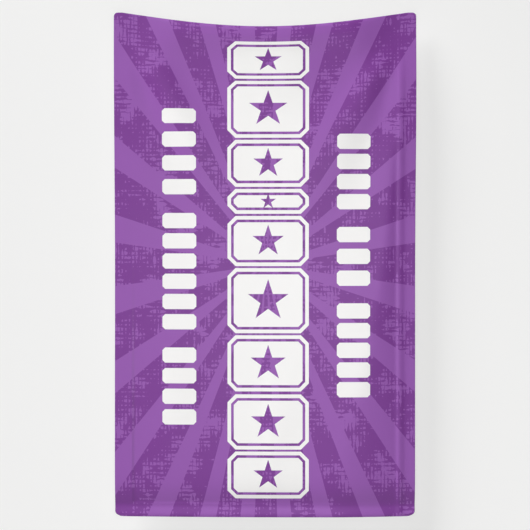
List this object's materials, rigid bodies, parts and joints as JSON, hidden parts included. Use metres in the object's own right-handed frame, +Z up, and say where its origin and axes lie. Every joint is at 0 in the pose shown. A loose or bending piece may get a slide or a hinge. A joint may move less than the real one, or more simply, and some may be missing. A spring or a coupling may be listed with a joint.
{
  "type": "hanging banner",
  "caption": "Hemmed scrim-vinyl banner, portrait, hung on a wall from hook-and-loop squares behind its top corners, with a sagging top edge.",
  "frame": {"origin": "on the wall, midway between the centres of the two fixings behind the top corners", "axes": "+Z up, +X to the viewer's right, +Y into the wall, so the printed face looks along -Y"},
  "size_m": [0.9142, 0.0257, 1.524],
  "materials": {
    "printed_film": "satin printed PVC film",
    "scrim_weave": "woven polyester",
    "plain_film": "matte PVC film",
    "hem_tape": "translucent double-sided tape",
    "loop_pile": "brushed nylon loops",
    "hook_nylon": "moulded nylon hooks"
  },
  "bodies": {
    "wall_fixings": {"hook_square_left": "hook_nylon", "hook_square_right": "hook_nylon"},
    "banner": {"front_film": "printed_film", "scrim": "scrim_weave", "back_film": "plain_film", "hem_top": "plain_film", "hem_bottom": "plain_film", "hem_left": "plain_film", "hem_right": "plain_film", "hem_tape_top": "hem_tape", "hem_tape_bottom": "hem_tape", "hem_tape_left": "hem_tape", "hem_tape_right": "hem_tape", "loop_square_left": "loop_pile", "loop_square_right": "loop_pile"}
  },
  "joints": [
    {"name": "banner_lift", "type": "hinge", "parent": "wall_fixings", "child": "banner", "pos_m": [0, -0.0012, 0.025], "axis": [-1, 0, 0], "range_deg": [0, 60]}
  ]
}
